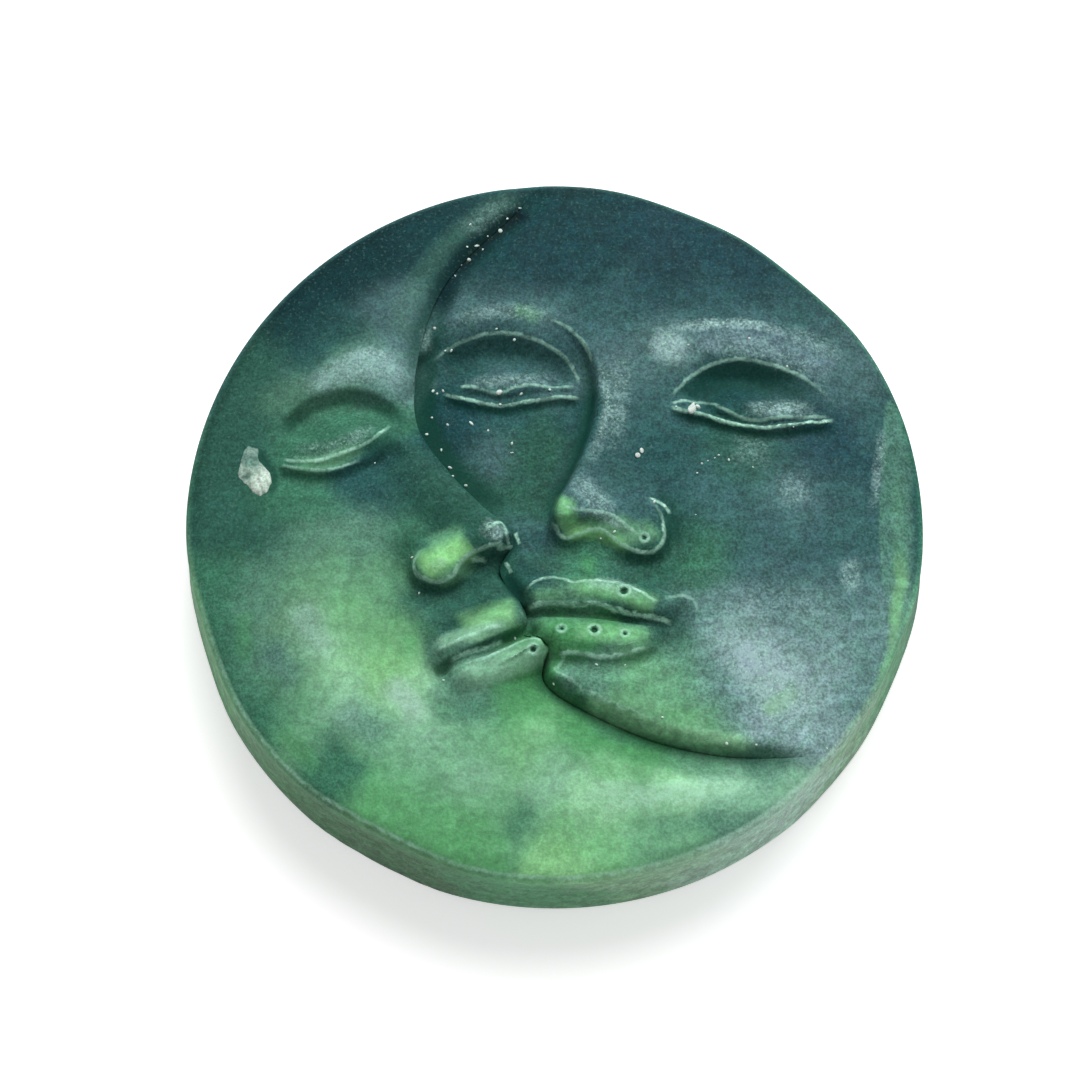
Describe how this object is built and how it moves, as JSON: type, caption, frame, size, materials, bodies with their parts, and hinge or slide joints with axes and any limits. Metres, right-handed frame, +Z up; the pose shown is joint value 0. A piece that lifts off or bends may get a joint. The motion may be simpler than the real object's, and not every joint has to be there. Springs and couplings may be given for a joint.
{
  "type": "shaving soap puck",
  "caption": "Round poured shaving soap puck with a flat back and a domed face in relief: a crescent moon in profile, eyes closed, against a frontal sun face, to be lathered with a brush.",
  "frame": {"origin": "middle of the flat underside, on the table", "axes": "+Z up out of the relief, +Y towards the foreheads, +X towards the sun's cheek"},
  "size_m": [0.075, 0.075, 0.0156],
  "materials": {
    "backing_soap": "waxy grey-green poured soap, satin",
    "sun_soap": "dark teal poured soap with green marbling, satin",
    "moon_soap": "marbled green poured soap, satin",
    "crumb_soap": "pale dry soap flake, matte"
  },
  "bodies": {
    "root": {"base_slab": "backing_soap", "sun_face": "sun_soap", "moon_crescent": "moon_soap", "soap_crumb": "crumb_soap"}
  },
  "joints": []
}
